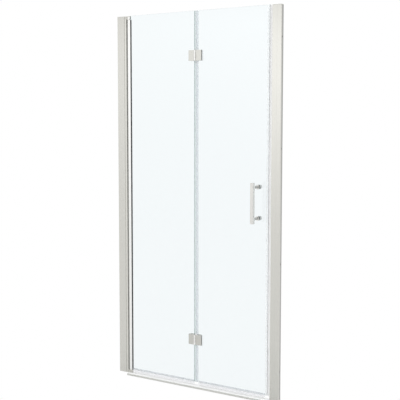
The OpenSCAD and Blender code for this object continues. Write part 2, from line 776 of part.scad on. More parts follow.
// Clear fold seal on the leading panel's hinge edge, in three lengths
fold_seal_t = 1;     // wall of its legs
tube_w = 8;          // width of its tube
fin_y1 = 0.4;        // shower side of its fin
module fold_seal() color([0.88, 0.88, 0.92, 0.6]) {
  fin_x = inner_x1 + seat_gap + plate_gap;
  tube_x = leading_x0 - tube_w;
  tube_y = glass_y + fold_seal_t;
  for (run = fold_seal_zs) upright(run[0], run[1]) {
    rect(leading_x0, leading_x0 + fold_leg, -tube_y, -glass_y);
    rect(leading_x0, leading_x0 + fold_leg, glass_y, tube_y);
    difference() {
      rect(tube_x, leading_x0, -tube_y, tube_y);
      rect(tube_x + seal_t, leading_x0 - seal_t, -tube_y + seal_t, tube_y - seal_t);
    }
    rect(fin_x, tube_x, -fold_seal_t, fin_y1);
  }
}

// Clear seal on the leading edge, with a pocket for the moving magnet
module magnetic_seal() color([0.88, 0.88, 0.91, 0.7]) {
  seal_y = glass_y + seal_t;
  upright(glass_z0, glass_z1 - magnet_drop) {
    rect(leading_x1 - magnet_leg, leading_x1, -seal_y, -glass_y);
    rect(leading_x1 - magnet_leg, leading_x1, glass_y, seal_y);
    rect(leading_x1, leading_x1 + housing_t, -seal_y, seal_y);
  }
}

// Moving magnet strip on the seal's nose
module leading_magnet() color([0.92, 0.92, 0.92]) {
  nose_x = leading_x1 + housing_t;
  box(nose_x, nose_x + magnet_t, -magnet_y, magnet_y, glass_z0, glass_z1 - magnet_drop);
}

// Square pull bar with broken edges, bored for the posts' spigots
spigot_r = 3;
spigot_l = 8;
module handle_bar() color([0.87, 0.87, 0.85]) {
  half = handle_bar / 2;
  edge = 0.8;
  difference() {
    upright(bar_z - handle_len / 2, bar_z + handle_len / 2)
      translate([handle_x, bar_y0 + half]) polygon([
        [-half + edge, -half], [half - edge, -half], [half, -half + edge], [half, half - edge],
        [half - edge, half], [-half + edge, half], [-half, half - edge], [-half, -half + edge]]);
    for (z = handle_zs)
      rod_y(handle_x, z, spigot_r + press_fit, bar_y1 - spigot_l - 0.3, bar_y1 + 1);
  }
}

// Round necks between the bar and the glass, with a spigot in the bar
module handle_posts() color([0.76, 0.76, 0.75]) {
  for (z = handle_zs) difference() {
    union() {
      rod_y(handle_x, z, neck_r, bar_y1, -glass_y);
      rod_y(handle_x, z, spigot_r, bar_y1 - spigot_l, bar_y1 + 1);
    }
    rod_y(handle_x, z, stud_r + press_fit, -glass_y - 22, -glass_y + 1);
  }
}

// Metal rosettes round the necks
module handle_rosettes() color([0.90, 0.90, 0.88]) {
  for (z = handle_zs) translate([handle_x, rosette_y0, z]) rotate([-90, 0, 0])
    rotate_extrude() polygon([
      [neck_r + 0.05, 0], [rosette_r - 0.8, 0], [rosette_r, 0.8],
      [rosette_r, rosette_t], [neck_r + 0.05, rosette_t]]);
}

// Black spacers between rosettes and glass
module handle_spacers() color([0.08, 0.08, 0.08]) {
  for (z = handle_zs) difference() {
    rod_y(handle_x, z, rosette_r - spacer_inset, rosette_y0 + rosette_t, -glass_y);
    rod_y(handle_x, z, neck_r + 0.05, rosette_y0, -glass_y + 1);
  }
}

// Black sleeves that line the glass holes round the studs
module handle_glass_sleeves() color([0.08, 0.08, 0.08]) {
  for (z = handle_zs) difference() {
    rod_y(handle_x, z, sleeve_r - 0.05, -glass_y, glass_y);
    rod_y(handle_x, z, stud_r + 0.05, -glass_y - 1, glass_y + 1);
  }
}

// Nylon washers between the glass and the back caps
module handle_back_washers() color([0.90, 0.89, 0.84]) {
  for (z = handle_zs) difference() {
    rod_y(handle_x, z, rosette_r - spacer_inset, glass_y, glass_y + back_washer_t);
    rod_y(handle_x, z, stud_r + 0.05, glass_y - 1, glass_y + back_washer_t + 1);
  }
}

// Domed caps that clamp the handle from the shower side
module handle_back_caps() color([0.84, 0.84, 0.82]) {
  for (z = handle_zs) translate([handle_x, glass_y + back_washer_t, z]) rotate([-90, 0, 0])
    rotate_extrude() polygon([
      [stud_r + press_fit, 0], [rosette_r, 0], [rosette_r, back_cap_t - 2],
      [rosette_r - 2, back_cap_t], [0, back_cap_t], [0, back_cap_t - 2],
      [stud_r + press_fit, back_cap_t - 2]]);
}

// Threaded studs from the back caps through the glass into the necks
module handle_studs() color([0.70, 0.70, 0.72]) {
  for (z = handle_zs)
    rod_y(handle_x, z, stud_r, -glass_y - 21, glass_y + back_washer_t + back_cap_t - 2.2);
}

wall_channel_hinge_side();
wall_channel_strike_side();
hinge_post();
strike_post();
top_pivot_block();
bottom_pivot_block();
top_pivot_pin();
bottom_pivot_pin();
thrust_washer();
hinge_post_gasket();
hinge_side_top_cap();
strike_side_top_cap();
strike_magnet_carrier();
strike_magnet();
threshold();
threshold_end_plates();
hinge_side_fixing_screws();
strike_side_fixing_screws();
hinge_side_screw_covers();
strike_side_screw_covers();
pivot_block_screws();
pivot_stile();
stile_glazing_gasket();
inner_glass();
top_pivot_bush();
bottom_pivot_bush();
upper_hinge_inner_leaf();
lower_hinge_inner_leaf();
upper_hinge_inner_back_plate();
lower_hinge_inner_back_plate();
inner_hinge_pads();
inner_hinge_screws();
upper_hinge_pin();
lower_hinge_pin();
inner_bottom_seal();
leading_glass();
upper_hinge_leading_leaf();
lower_hinge_leading_leaf();
upper_hinge_leading_back_plate();
lower_hinge_leading_back_plate();
leading_hinge_pads();
leading_hinge_screws();
hinge_bushes();
fold_seal();
leading_bottom_seal();
magnetic_seal();
leading_magnet();
handle_bar();
handle_posts();
handle_rosettes();
handle_spacers();
handle_glass_sleeves();
handle_back_washers();
handle_back_caps();
handle_studs();
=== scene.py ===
"""Looks of an inward-folding bifold shower door, built round its CAD frame.

X runs along the door from the hinge side wall, -Y is the outside and +Z is up.
Sizes are in millimetres unless a comment says metres, which are Blender's own units.
"""

import json
import math

import bmesh
import bpy
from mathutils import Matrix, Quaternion, Vector


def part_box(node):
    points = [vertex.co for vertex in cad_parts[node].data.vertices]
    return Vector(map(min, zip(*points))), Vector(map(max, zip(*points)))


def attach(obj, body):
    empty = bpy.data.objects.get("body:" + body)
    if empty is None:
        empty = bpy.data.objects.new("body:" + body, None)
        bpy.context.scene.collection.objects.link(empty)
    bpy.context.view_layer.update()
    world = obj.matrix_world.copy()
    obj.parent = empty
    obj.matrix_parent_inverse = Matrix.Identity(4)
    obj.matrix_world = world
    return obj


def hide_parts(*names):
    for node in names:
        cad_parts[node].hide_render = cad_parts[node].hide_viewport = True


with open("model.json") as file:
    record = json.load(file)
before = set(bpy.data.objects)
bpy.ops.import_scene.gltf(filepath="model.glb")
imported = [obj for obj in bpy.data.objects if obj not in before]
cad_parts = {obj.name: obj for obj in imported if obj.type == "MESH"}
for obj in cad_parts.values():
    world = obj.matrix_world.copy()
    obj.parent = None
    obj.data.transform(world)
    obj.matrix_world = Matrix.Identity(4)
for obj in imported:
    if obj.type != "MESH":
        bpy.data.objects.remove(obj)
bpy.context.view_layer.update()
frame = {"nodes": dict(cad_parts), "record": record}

MM = 0.001
NODES = frame["nodes"]
PARTS = frame["record"]["subparts"]
BODY = {node: body for body, nodes in frame["record"]["behaviour"]["bodies"].items() for node in nodes}
SLOT = {part["node"]: part["material_slot"] for part in PARTS}


# ---------------------------------------------------------------- sizes
class Span:
    """The box of a CAD node at rest, in millimetres."""

    def __init__(self, node):
        low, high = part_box(node)
        self.x0, self.y0, self.z0 = (v / MM for v in low)
        self.x1, self.y1, self.z1 = (v / MM for v in high)
        self.x = (self.x0 + self.x1) / 2
        self.y = (self.y0 + self.y1) / 2
        self.z = (self.z0 + self.z1) / 2
        self.r = (self.x1 - self.x0) / 2

    def two(self):
        """Heights of two equal round pieces at the ends of the box."""
        return self.z0 + self.r, self.z1 - self.r

    def three(self):
        """Heights of three equal round pieces, at the ends of the box and halfway."""
        return self.z0 + self.r, self.z, self.z1 - self.r


GLASS = Span("inner_glass")
LEADING = Span("leading_glass")
STILE = Span("pivot_stile")
BAR = Span("handle_bar")
FOLD = Span("upper_hinge_pin")
NECK_R = Span("handle_posts").r
PIVOT_X = Span("top_pivot_pin").x
KNUCKLE_R = FOLD.x - Span("upper_hinge_leading_leaf").x0
CHANNEL_X = Span("wall_channel_strike_side").x1
BASE_Z = Span("threshold").z0

OFF_GLASS = 0.1     # kept between the glass and what lies on it, so that no two surfaces fall together
SEAT_Y = GLASS.y1 + OFF_GLASS
RING_INSET = 0.5    # by which the radius of the handle's black rings is smaller than their solids'
LEG_CUT = 1.0       # by which the bottom seals' legs are shorter than their solids'
SHADE_Y = -1.5      # behind this the strike side channel's outer face is painted darker, as painted shade
RIB_Y = 12.0        # within this of the glass's plane the threshold is painted pale all round, as painted light


# ---------------------------------------------------------------- node trees
SOCKETS = {
    "color": "Base Color", "metal": "Metallic", "rough": "Roughness", "ior": "IOR",
    "alpha": "Alpha", "glass": "Transmission Weight", "coat": "Coat Weight",
    "spec": "Specular IOR Level", "glow": "Emission Color", "glow_strength": "Emission Strength",
}
COLOURS = ("color", "glow")
NOISE_RANGE = (0.25, 0.75)    # noise is seldom outside it


class Nodes:
    """A node tree with short calls for its nodes."""

    def __init__(self, tree):
        self.tree = tree
        self.coords = self.new("ShaderNodeTexCoord")

    def new(self, kind, **settings):
        node = self.tree.nodes.new(kind)
        for key, value in settings.items():
            setattr(node, key, value)
        return node

    def link(self, a, b):
        self.tree.links.new(a, b)

    def math(self, kind, *values):
        """A calculation with numbers and other nodes' outputs."""
        node = self.new("ShaderNodeMath", operation=kind)
        for slot, value in zip(node.inputs, values):
            if isinstance(value, (int, float)):
                slot.default_value = value
            else:
                self.link(value, slot)
        return node.outputs[0]

    def joined(self, kind, first, *others):
        """The same calculation over any number of values, such as their sum."""
        total = first
        for value in others:
            total = self.math(kind, total, value)
        return total

    def ramp(self, value, start, end, low, high, smooth=False):
        """low where value is at or under start, high where it is at or over end."""
        node = self.new("ShaderNodeMapRange", interpolation_type="SMOOTHSTEP" if smooth else "LINEAR")
        for key, number in (("From Min", start), ("From Max", end), ("To Min", low), ("To Max", high)):
            node.inputs[key].default_value = number
        self.link(value, node.inputs["Value"])
        return node.outputs["Result"]

    def rays(self, *kinds):
        """1 for rays of the named kinds, 0 for others."""
        path = self.new("ShaderNodeLightPath")
        return self.joined("MAXIMUM", *(path.outputs[kind] for kind in kinds))


class Shader(Nodes):
    """A node material with a Principled shader and short calls for its maps."""

    def __init__(self, name, **values):
        self.mat = bpy.data.materials.new(name)
        self.mat.use_nodes = True
        super().__init__(self.mat.node_tree)
        self.bsdf = self.tree.nodes["Principled BSDF"]
        self.out = self.tree.nodes["Material Output"]
        for key, value in values.items():
            self.bsdf.inputs[SOCKETS[key]].default_value = (*value, 1.0) if key in COLOURS else value

    def noise(self, scale, stretch=(1, 1, 1), detail=3.0, rough=0.5):
        """Noise over the object's own coordinates. scale is per metre."""
        mapping = self.new("ShaderNodeMapping")
        mapping.inputs["Scale"].default_value = stretch
        self.link(self.coords.outputs["Object"], mapping.inputs["Vector"])
        noise = self.new("ShaderNodeTexNoise")
        noise.inputs["Scale"].default_value = scale
        noise.inputs["Detail"].default_value = detail
        noise.inputs["Roughness"].default_value = rough
        self.link(mapping.outputs["Vector"], noise.inputs["Vector"])
        return noise.outputs["Fac"]

    def remap(self, noise, low, high):
        """Noise spread over the numbers from low to high."""
        return self.ramp(noise, *NOISE_RANGE, low, high)

    def shade(self, fac, dark, light):
        """Base colour between dark and light by fac."""
        mix = self.new("ShaderNodeMix", data_type="RGBA")
        mix.inputs["A"].default_value = (*dark, 1.0)
        mix.inputs["B"].default_value = (*light, 1.0)
        self.link(fac, mix.inputs["Factor"])
        self.link(mix.outputs["Result"], self.bsdf.inputs["Base Color"])

    def bump(self, height, strength, distance):
        bump = self.new("ShaderNodeBump")
        bump.inputs["Strength"].default_value = strength
        bump.inputs["Distance"].default_value = distance
        self.link(height, bump.inputs["Height"])
        self.link(bump.outputs["Normal"], self.bsdf.inputs["Normal"])

    def mixed(self, fac, other):
        """The Principled shader where fac is 0, another one where it is 1."""
        mix = self.new("ShaderNodeMixShader")
        self.link(fac, mix.inputs[0])
        self.link(self.bsdf.outputs[0], mix.inputs[1])
        self.link(other, mix.inputs[2])
        self.link(mix.outputs[0], self.out.inputs["Surface"])


# ---------------------------------------------------------------- kinds of finish
# Noise scales, per metre of the object.
BRUSH_LINES, BRUSH_PATCHES = 1100, 14
SKIN, MOTTLE = 700, 25
HAZE, WAVES = 40, 6

# Strengths of the bumps, and their depths in metres.
LINE_BUMP, SKIN_BUMP = 0.25, 0.3
LINE_DEPTH, SKIN_DEPTH, WAVE_DEPTH = 0.00002, 0.00003, 0.0005

# Lines that run along an axis are noise drawn out fifty times along it.
GRAIN = {"x": (0.02, 1, 1), "y": (1, 0.02, 1), "z": (1, 1, 0.02)}
LINE_SPREAD = 0.05    # by which lines are darker or lighter than the metal's colour


def scaled(color, factor):
    return tuple(min(1.0, c * factor) for c in color)


def brushed(name, color, grain, rough, metal=1.0):
    """Brushed metal whose fine lines run along grain ("x", "y" or "z")."""
    s = Shader(name, metal=metal, color=color)
    lines = s.noise(BRUSH_LINES, GRAIN[grain], detail=3.0, rough=0.55)
    patches = s.noise(BRUSH_PATCHES, (1, 1, 0.3), detail=2.0, rough=0.5)
    s.shade(s.remap(lines, 0.0, 1.0), scaled(color, 1 - LINE_SPREAD), scaled(color, 1 + LINE_SPREAD))
    both = s.math("ADD", s.remap(lines, 0.0, 0.6), s.remap(patches, 0.0, 0.4))
    s.link(s.ramp(both, 0.0, 1.0, *rough), s.bsdf.inputs["Roughness"])
    s.bump(lines, LINE_BUMP, LINE_DEPTH)
    return s.mat


def moulded(name, color, rough, spread=0.03, **values):
    """Plain moulded plastic or rubber with a fine skin and faint mottling."""
    s = Shader(name, color=color, **values)
    skin = s.noise(SKIN, detail=4.0, rough=0.6)
    mottle = s.noise(MOTTLE)
    s.shade(s.remap(mottle, 0.0, 1.0), scaled(color, 1 - spread), scaled(color, 1 + spread))
    s.link(s.remap(skin, *rough), s.bsdf.inputs["Roughness"])
    s.bump(skin, SKIN_BUMP, SKIN_DEPTH)
    return s.mat


def glassy(name, color, rough, wave=0.0, clear=1.0):
    """Glass that lets lamp light through. clear is its transmission and wave the bump of its faces."""
    s = Shader(name, color=color, glass=clear, ior=1.5, rough=rough[0])
    haze = s.noise(HAZE, (1, 1, 0.5))
    s.link(s.remap(haze, *rough), s.bsdf.inputs["Roughness"])
    s.shade(s.remap(haze, 0.0, 1.0), scaled(color, 0.995), color)
    if wave:
        s.bump(s.noise(WAVES, detail=1.0, rough=0.4), wave, WAVE_DEPTH)
    through = s.new("ShaderNodeBsdfTransparent")
    through.inputs["Color"].default_value = (*color, 1.0)
    s.mixed(s.rays("Is Shadow Ray"), through.outputs[0])
    return s.mat


# ---------------------------------------------------------------- finishes
NICKEL = (0.600, 0.594, 0.558)
STEEL = (0.655, 0.650, 0.628)

# One for each material slot of the record.
MATS = {
    "frame_metal": brushed("brushed_nickel_profiles", NICKEL, "z", (0.17, 0.25)),
    "threshold_metal": brushed("satin_threshold", (0.68, 0.68, 0.65), "x", (0.20, 0.30)),
    "stile_metal": brushed("bright_stile", (0.86, 0.86, 0.845), "z", (0.16, 0.24)),
    "block_metal": brushed("cast_blocks", scaled(NICKEL, 0.98), "z", (0.20, 0.30)),
    "hinge_metal": brushed("brushed_hinges", (0.550, 0.545, 0.512), "z", (0.16, 0.25)),
    "handle_metal": brushed("brushed_handle", STEEL, "z", (0.22, 0.32)),
    "pin_steel": brushed("ground_pins", (0.62, 0.62, 0.63), "y", (0.14, 0.24)),
    "screw_steel": brushed("bright_screws", (0.66, 0.66, 0.66), "y", (0.18, 0.30)),
    "cover_plastic": moulded("cap_plastic", (0.60, 0.60, 0.57), (0.22, 0.34), coat=0.2),
    "bush_nylon": moulded("natural_nylon", (0.86, 0.85, 0.79), (0.38, 0.5)),
    "panel_glass": glassy("clear_glass", (0.905, 0.945, 0.957), (0.0, 0.012), wave=0.02),
    "clear_seal": moulded("clear_pvc", (0.74, 0.75, 0.78), (0.22, 0.36), alpha=0.30),
    "white_seal": moulded("white_pvc", (0.88, 0.88, 0.88), (0.35, 0.5)),
    "grey_rubber": moulded("dark_rubber", (0.075, 0.075, 0.078), (0.55, 0.75), 0.12),
    "black_rubber": moulded("black_rubber", (0.018, 0.018, 0.018), (0.5, 0.7), 0.2),
}

# Glass edges.
GLASS_EDGE = glassy("ground_glass_edge", (0.69, 0.81, 0.81), (0.20, 0.35), clear=0.35)
POLISHED_EDGE = glassy("polished_glass_edge", (0.97, 0.985, 0.99), (0.0, 0.03))

# Profiles, threshold and hinges.
# A lighter copy of the frame's nickel on the hinge post: painted light against the shade on its narrow
# face.
POST_NICKEL_PAINTED_LIGHT = brushed("hinge_post_nickel_painted_light", scaled(NICKEL, 1.06), "z", (0.17, 0.25))
# Darker nickel as painted shade, on the rear of the strike side channel's outer face and the top block's
# far limb.
PAINTED_SHADE_NICKEL = brushed("painted_shade_nickel", (0.40, 0.398, 0.385), "z", (0.20, 0.30))
# Pale, unmetallic threshold top and rib: painted light from above.
THRESHOLD_PAINTED_LIGHT = brushed("threshold_top_painted_light", (1.0, 1.0, 0.995), "x", (0.30, 0.40), metal=0.0)
# Lighter metal on the knuckles' round sides: a painted highlight.
BARREL_PAINTED_HIGHLIGHT = brushed("barrel_painted_highlight", (0.80, 0.795, 0.775), "z", (0.20, 0.28))
# Dark metal on the leaves' outer ends: painted shade.
LEAF_END_PAINTED_SHADE = brushed("leaf_end_painted_shade", (0.27, 0.268, 0.258), "z", (0.24, 0.34))

# Handle.
# A lighter copy of the handle's steel on the bar's far side: painted light.
BAR_SIDE_PAINTED_LIGHT = brushed("bar_side_painted_light", scaled(STEEL, 1.14), "z", (0.22, 0.32))
# Necks in a darker copy of the handle's metal, as painted shade, and rosettes in a lighter one, as painted
# light.
NECK_METAL_PAINTED_SHADE = brushed("turned_necks_painted_shade", (0.46, 0.458, 0.443), "y", (0.22, 0.32))
ROSETTE_METAL_PAINTED_LIGHT = brushed("turned_rosettes_painted_light", (0.76, 0.757, 0.73), "y", (0.24, 0.34))
CAP_METAL = brushed("turned_back_caps", (0.64, 0.637, 0.62), "y", (0.24, 0.34))
WASHER_NYLON = moulded("white_nylon", (0.98, 0.98, 0.97), (0.38, 0.5), 0.01)

# Seals. Tint and alpha are set for each clear wall as the photo shows it, and so paint the light and shade
# on it.
SOFT_GASKET = moulded("soft_gasket", (0.35, 0.35, 0.34), (0.5, 0.7), 0.1)
FOLD_PVC = moulded("tinted_clear_pvc", (0.62, 0.675, 0.725), (0.25, 0.38), alpha=0.28)
FIN_PVC = moulded("soft_clear_pvc", (0.56, 0.66, 0.66), (0.25, 0.38), alpha=0.42)
LEG_PVC = moulded("thin_clear_pvc", (1.0, 1.0, 1.0), (0.22, 0.36), alpha=0.06)
EDGE_PVC = moulded("pale_clear_pvc", (0.98, 0.98, 0.99), (0.22, 0.36), alpha=0.20)
WIPER_PVC = moulded("wiper_clear_pvc", (0.86, 0.865, 0.89), (0.22, 0.36), alpha=0.26)


# ---------------------------------------------------------------- mesh tools
CORNER_STEPS = 3                     # flats in a rounded corner of an extruded outline
CORNER_SHARE = 0.45                  # the most of a side that one of its corners takes
TURN_STEPS = 64                      # flats round a turned piece
WELD = 1e-6                          # metres
SAME_PLANE = math.radians(0.5)       # faces that meet at less are one
EDGE_ANGLE = math.radians(30)        # an outer edge over this is broken
SMOOTH_ANGLE = math.radians(35)      # an edge under this is shaded smooth
FACING = 0.9                         # a face looks along an axis if its normal has this much of it


def softened(points, radius):
    """A closed outline with its corners rounded."""
    out = []
    for i, point in enumerate(points):
        here = Vector(point)
        back = Vector(points[i - 1]) - here
        ahead = Vector(points[(i + 1) % len(points)]) - here
        start = here + back.normalized() * min(radius, back.length * CORNER_SHARE)
        end = here + ahead.normalized() * min(radius, ahead.length * CORNER_SHARE)
        for k in range(CORNER_STEPS + 1):
            t = k / CORNER_STEPS
            out.append(tuple(start * (1 - t) ** 2 + here * 2 * t * (1 - t) + end * t ** 2))
    return out


def mirrored(half):
    """A closed outline of (x, y) pairs from its half behind the glass's plane."""
    return [*half, *((x, -y) for x, y in reversed(half))]


def extruded(bm, loops, axis, low, high):
    """Closed outlines run from low to high along axis ("x" or "z"); the later ones are bores."""
    rings = ([], [])
    for loop in loops:
        rows = []
        for run in (low, high):
            spots = [(run, a, b) if axis == "x" else (a, b, run) for a, b in loop]
            rows.append([bm.verts.new([v * MM for v in spot]) for spot in spots])
        for i in range(len(loop)):
            bm.faces.new((rows[0][i - 1], rows[0][i], rows[1][i], rows[1][i - 1]))
        for ring, row in zip(rings, rows):
            ring += [bm.edges.get((row[i - 1], row[i])) for i in range(len(row))]
    for ring in rings:
        bmesh.ops.triangle_fill(bm, use_beauty=True, edges=ring)


def turned(bm, profile, x, z, recess=None, depth=0.0):
    """A solid turned about the line along Y through x, z. profile holds (radius, y) pairs.

    A recess outline of (x, z) pairs is sunk by depth into the last ring, towards -Y.
    """
    def spot(right, y, up):
        return bm.verts.new(((x + right) * MM, y * MM, (z + up) * MM))

    rings = []
    for radius, y in profile:
        count = TURN_STEPS if radius > 0 else 1
        turns = [2 * math.pi * k / TURN_STEPS for k in range(count)]
        rings.append([spot(radius * math.cos(a), y, radius * math.sin(a)) for a in turns])
    for one, two in zip(rings, rings[1:]):
        for i in range(TURN_STEPS):
            if len(one) == len(two):
                corners = [one[i - 1], one[i], two[i], two[i - 1]]
            elif len(one) == 1:
                corners = [one[0], two[i], two[i - 1]]
            else:
                corners = [one[i - 1], one[i], two[0]]
            bm.faces.new(corners)
    if recess:
        top = profile[-1][1]
        rim, floor = ([spot(dx, y, dz) for dx, dz in recess] for y in (top, top - depth))
        count = len(recess)
        for i in range(count):
            bm.faces.new((rim[i - 1], rim[i], floor[i], floor[i - 1]))
        bm.faces.new(floor)
        edges = [bm.edges.get((rings[-1][i - 1], rings[-1][i])) for i in range(TURN_STEPS)]
        edges += [bm.edges.get((rim[i - 1], rim[i])) for i in range(count)]
        bmesh.ops.triangle_fill(bm, use_beauty=True, edges=edges)


def hexagon(radius):
    return [(radius * math.cos(math.pi * k / 3), radius * math.sin(math.pi * k / 3)) for k in range(6)]


def cross(radius, half):
    """A cross of four arms, radius long and twice half wide."""
    arm = [(half, half), (half, radius), (-half, radius)]
    turns = ((1, 0), (0, 1), (-1, 0), (0, -1))
    return [(x * c - z * s, x * s + z * c) for c, s in turns for x, z in arm]


def quarter_turn(steps):
    """Angles from 0 to a right angle, in even steps."""
    return [math.pi / 2 * k / steps for k in range(steps + 1)]


def centre(face):
    """The middle of a face, in millimetres."""
    return face.calc_center_median() / MM


# ---------------------------------------------------------------- kinds of piece
def piece(node, bm, mats=None, paint=None):
    """Finishes a mesh as the piece that stands for a CAD node, on its body and with its slot's material.

    mats stand in for the slot's own material, and paint gives a face's place among them.
    """
    if paint:
        for face in bm.faces:
            face.material_index = paint(face)
    bmesh.ops.recalc_face_normals(bm, faces=bm.faces)
    mesh = bpy.data.meshes.new(node + "_piece")
    bm.to_mesh(mesh)
    bm.free()
    for mat in mats or [MATS[SLOT[node]]]:
        mesh.materials.append(mat)
    for face in mesh.polygons:
        face.use_smooth = True
    mesh.set_sharp_from_angle(angle=SMOOTH_ANGLE)
    made = bpy.data.objects.new(node + "_piece", mesh)
    bpy.context.scene.collection.objects.link(made)
    normals = made.modifiers.new("weighted_normals", "WEIGHTED_NORMAL")
    normals.keep_sharp = True
    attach(made, BODY[node])
    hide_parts(node)
    return made


def dressed(node, bevel, mats=None, paint=None, segments=2, cuts=()):
    """A CAD node's shape with its outer edges broken.

    cuts are (axis number, place) pairs where the surface is split, so that paint can end there.
    """
    bm = bmesh.new()
    bm.from_mesh(NODES[node].data)
    bmesh.ops.remove_doubles(bm, verts=bm.verts, dist=WELD)
    bmesh.ops.dissolve_limit(bm, angle_limit=SAME_PLANE, verts=bm.verts, edges=bm.edges)
    outer = [e for e in bm.edges if len(e.link_faces) == 2 and e.is_convex
             and e.calc_face_angle() > EDGE_ANGLE]
    bmesh.ops.bevel(bm, geom=outer, offset=bevel * MM, segments=segments, profile=0.5,
                    affect="EDGES", clamp_overlap=True)
    for axis, place in cuts:
        across = Vector(float(axis == k) for k in range(3))
        bmesh.ops.bisect_plane(bm, geom=[*bm.verts, *bm.edges, *bm.faces],
                               plane_co=across * place * MM, plane_no=across)
    return piece(node, bm, mats, paint)


def strip(node, loops, axis, runs, mats=None, paint=None):
    """An outline and its bores run along an axis, over each (low, high) pair of runs."""
    bm = bmesh.new()
    for low, high in runs:
        extruded(bm, loops, axis, low, high)
    piece(node, bm, mats, paint)


def turned_set(node, profile, heights, mats=None, **recess):
    """Equal turned pieces at several heights."""
    bm = bmesh.new()
    for z in heights:
        turned(bm, profile, Span(node).x, z, **recess)
    piece(node, bm, mats)


# ---------------------------------------------------------------- frame and hinges
# How much is taken off the outer edges of the nodes that need nothing else.
EDGE_BREAKS = {
    "wall_channel_hinge_side": 0.25, "strike_post": 0.25,
    "hinge_side_top_cap": 0.6, "strike_side_top_cap": 0.6,
    "strike_magnet_carrier": 0.5, "strike_magnet": 0.4, "leading_magnet": 0.4,
    "pivot_stile": 0.35,
    "upper_hinge_pin": 0.6, "lower_hinge_pin": 0.6,
    "upper_hinge_inner_back_plate": 0.6, "lower_hinge_inner_back_plate": 0.6,
    "upper_hinge_leading_back_plate": 0.6, "lower_hinge_leading_back_plate": 0.6,
    "inner_hinge_pads": 0.15, "leading_hinge_pads": 0.15,
}


def bar_side(face):
    """1 on the bar's side away from the hinges, painted lighter as painted light, 0 elsewhere."""
    return int(face.normal.x > FACING)


def shaded_side(face):
    """1 on the rear of the strike side channel's outer face, painted darker as painted shade, 0 elsewhere.
    """
    on_outer_face = face.normal.x > FACING and centre(face).x > CHANNEL_X - 0.2
    return int(on_outer_face and centre(face).y > SHADE_Y)


def leaf_light_and_shade(face):
    """1 on a knuckle's round side, painted lighter as a highlight, 2 on a leaf's outer end, painted dark
    as shade, 0 elsewhere.
    """
    from_pin = math.hypot(centre(face).x - FOLD.x, centre(face).y - FOLD.y)
    on_barrel = abs(from_pin - KNUCKLE_R) < 0.15 and abs(face.normal.z) < 0.3
    outer_end = abs(face.normal.x) > FACING and from_pin > 3 * KNUCKLE_R
    return 1 if on_barrel else 2 if outer_end else 0


def above_stile(face):
    """1 on the part of the top block that ends the stile's line, in the stile's metal, 2 on its far limb,
    painted darker as painted shade, 0 elsewhere.
    """
    if centre(face).x < PIVOT_X:
        return 0
    return 2 if face.normal.x > 0.75 else 1


def behind_front(face):
    """1 on the threshold's top and rib, painted pale as painted light, 0 on its upright front and back."""
    return int(face.normal.z > 0.5 or abs(centre(face).y) < RIB_Y)


for name, bevel in EDGE_BREAKS.items():
    dressed(name, bevel)
# The hinge post in lighter nickel, as painted light.
dressed("hinge_post", 0.25, [POST_NICKEL_PAINTED_LIGHT])
# The bar's far side is painted lighter, as painted light.
dressed("handle_bar", 0.35, [MATS["handle_metal"], BAR_SIDE_PAINTED_LIGHT], bar_side)
# The rear of the outer face is painted darker, as painted shade.
dressed("wall_channel_strike_side", 0.25, [MATS["frame_metal"], PAINTED_SHADE_NICKEL], shaded_side,
        cuts=[(1, SHADE_Y)])
# Knuckles painted lighter as a highlight, leaf ends painted dark as shade.
for level in ("upper", "lower"):
    for panel in ("inner", "leading"):
        dressed(f"{level}_hinge_{panel}_leaf", 0.3, [MATS["hinge_metal"], BARREL_PAINTED_HIGHLIGHT, LEAF_END_PAINTED_SHADE], leaf_light_and_shade)
dressed("bottom_pivot_block", 0.5)
# The top block's far limb is painted darker, as painted shade.
dressed("top_pivot_block", 0.5, [MATS["block_metal"], MATS["stile_metal"], PAINTED_SHADE_NICKEL], above_stile,
        cuts=[(0, PIVOT_X)])
# Top and rib painted pale, as painted light.
for name in ("threshold", "threshold_end_plates"):
    dressed(name, 0.3, [MATS["threshold_metal"], THRESHOLD_PAINTED_LIGHT], behind_front)


# ---------------------------------------------------------------- glass
def cut_edge(face):
    """1 on a pane's cut and bored edges, 2 on the leading pane's two upright ones, 0 on the faces."""
    if abs(face.normal.y) > FACING:
        return 0
    from_upright = min(abs(centre(face).x - LEADING.x0), abs(centre(face).x - LEADING.x1))
    return 2 if from_upright < 1.0 else 1


for name in ("inner_glass", "leading_glass"):
    pane = dressed(name, 0.5, [MATS["panel_glass"], GLASS_EDGE, POLISHED_EDGE], cut_edge, segments=1)
    for face in pane.data.polygons:
        face.use_smooth = False


# ---------------------------------------------------------------- seals
def bottom_seal(node):
    """A clip on the glass's bottom edge, with a wiper above the rib and a drip lip outside."""
    box = Span(node)
    grip, wall, top, seat = SEAT_Y, box.y1 - SEAT_Y, box.z1 - LEG_CUT, GLASS.z0 - OFF_GLASS
    clip, tip = GLASS.z0 - (box.y1 - GLASS.y1), box.z0
    leg = [
        (grip, seat), (grip, top - 2.2), (grip + 0.25, top - 1.4), (grip, top - 0.6), (grip + 0.4, top),
        (grip + 0.8, top - 0.2), (grip + wall, top - 2.0)]
    drip_lip = [
        (-grip - wall, clip + wall), (box.y0 + 0.1, tip + 2.9), (box.y0, tip + 2.0),
        (box.y0 + 0.7, tip + 2.2), (-grip - 0.3, clip)]
    wiper = [(0.6, clip), (0.5, tip + 1.6), (1.1, tip + 0.3), (0.8, tip)]
    outline = [
        *((-y, z) for y, z in leg), *drip_lip, *((-y, z) for y, z in wiper), (0.0, tip + 1.0),
        *reversed(wiper), (grip + wall, clip), *reversed(leg)]

    def below_glass(face):
        """1 on the wiper and the drip lip, painted lighter, 0 on the clip's legs, painted darker, as
        painted light and shade.
        """
        return int(centre(face).z < GLASS.z0 + 0.2)

    strip(node, [softened(outline, 0.3)], "x", [(box.x0, box.x1)],
          [MATS["clear_seal"], WIPER_PVC], below_glass)


